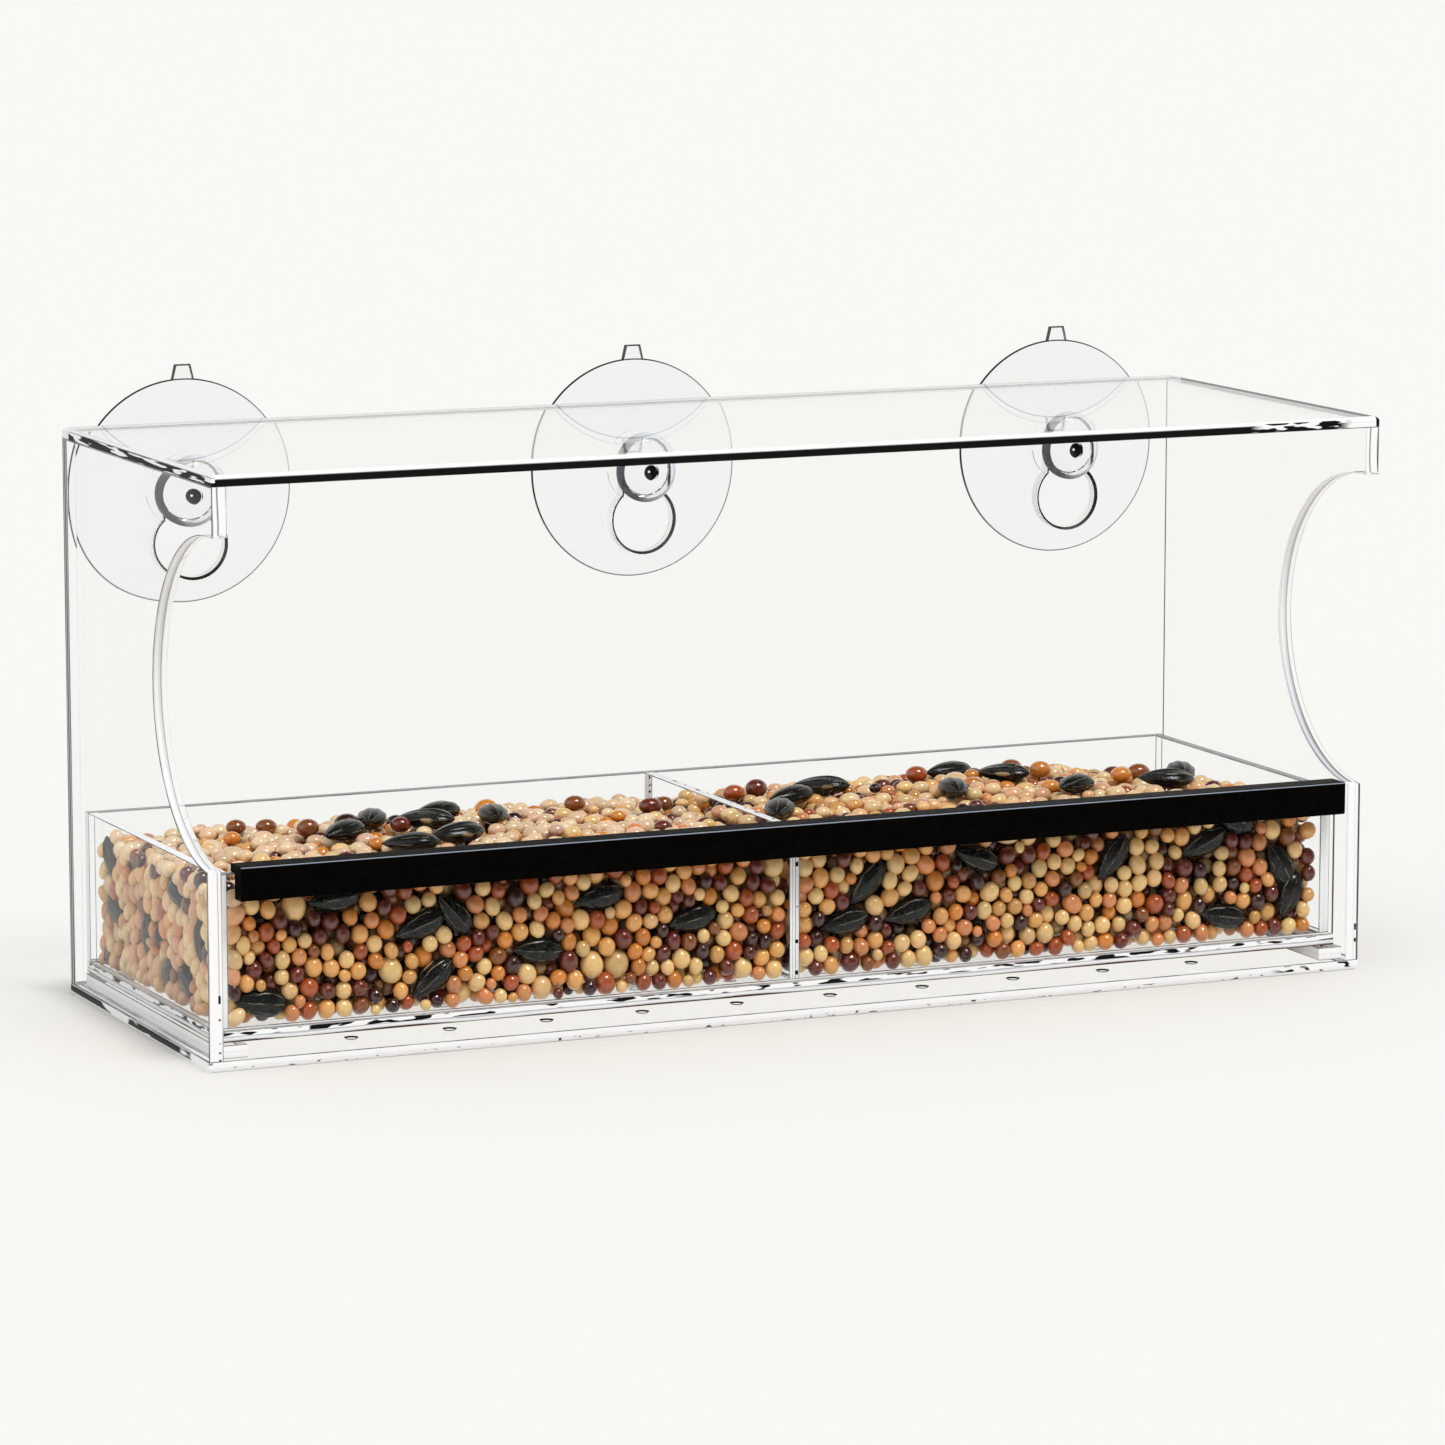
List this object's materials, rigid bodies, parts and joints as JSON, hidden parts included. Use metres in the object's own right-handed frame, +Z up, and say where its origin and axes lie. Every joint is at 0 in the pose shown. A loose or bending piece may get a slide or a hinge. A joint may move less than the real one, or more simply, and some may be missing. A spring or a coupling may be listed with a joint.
{
  "type": "window bird feeder",
  "caption": "Clear sheet window bird feeder with an open front, arched side openings, a divided seed tray that slides out, a black perch strip and suction cups in keyholes.",
  "frame": {"origin": "middle of the housing floor's underside", "axes": "+X to the right along the length, +Y towards the window, +Z up"},
  "size_m": [0.33, 0.1228, 0.1668],
  "materials": {
    "clear_sheet": "polished clear acrylic sheet",
    "tray_sheet": "polished clear acrylic sheet",
    "black_rubber": "satin black extrusion",
    "clear_soft_plastic": "glossy clear soft plastic",
    "seeds": "mixed glossy seeds, tan, orange, maroon and black",
    "sunflower_hulls": "black ridged hulls with thin pale stripes"
  },
  "bodies": {
    "housing": {"floor_panel": "clear_sheet", "roof_panel": "clear_sheet", "back_panel": "clear_sheet", "left_side_panel": "clear_sheet", "right_side_panel": "clear_sheet", "left_runner": "clear_sheet", "right_runner": "clear_sheet"},
    "tray": {"tray_floor": "tray_sheet", "tray_front_wall": "tray_sheet", "tray_back_wall": "tray_sheet", "tray_left_wall": "tray_sheet", "tray_right_wall": "tray_sheet", "tray_divider": "tray_sheet", "perch_strip": "black_rubber", "seed_mix_left": "seeds", "seed_mix_right": "seeds", "sunflower_seeds_left": "sunflower_hulls", "sunflower_seeds_right": "sunflower_hulls"},
    "cup_left": {"suction_cup_left": "clear_soft_plastic"},
    "cup_middle": {"suction_cup_middle": "clear_soft_plastic"},
    "cup_right": {"suction_cup_right": "clear_soft_plastic"}
  },
  "joints": [
    {"name": "tray_slide", "type": "slide", "parent": "housing", "child": "tray", "axis": [0, -1, 0], "range_m": [0, 0.1]},
    {"name": "cup_left_slide", "type": "slide", "parent": "housing", "child": "cup_left", "axis": [0, 0, -1], "range_m": [0, 0.0136]},
    {"name": "cup_middle_slide", "type": "slide", "parent": "housing", "child": "cup_middle", "axis": [0, 0, -1], "range_m": [0, 0.0136]},
    {"name": "cup_right_slide", "type": "slide", "parent": "housing", "child": "cup_right", "axis": [0, 0, -1], "range_m": [0, 0.0136]}
  ]
}
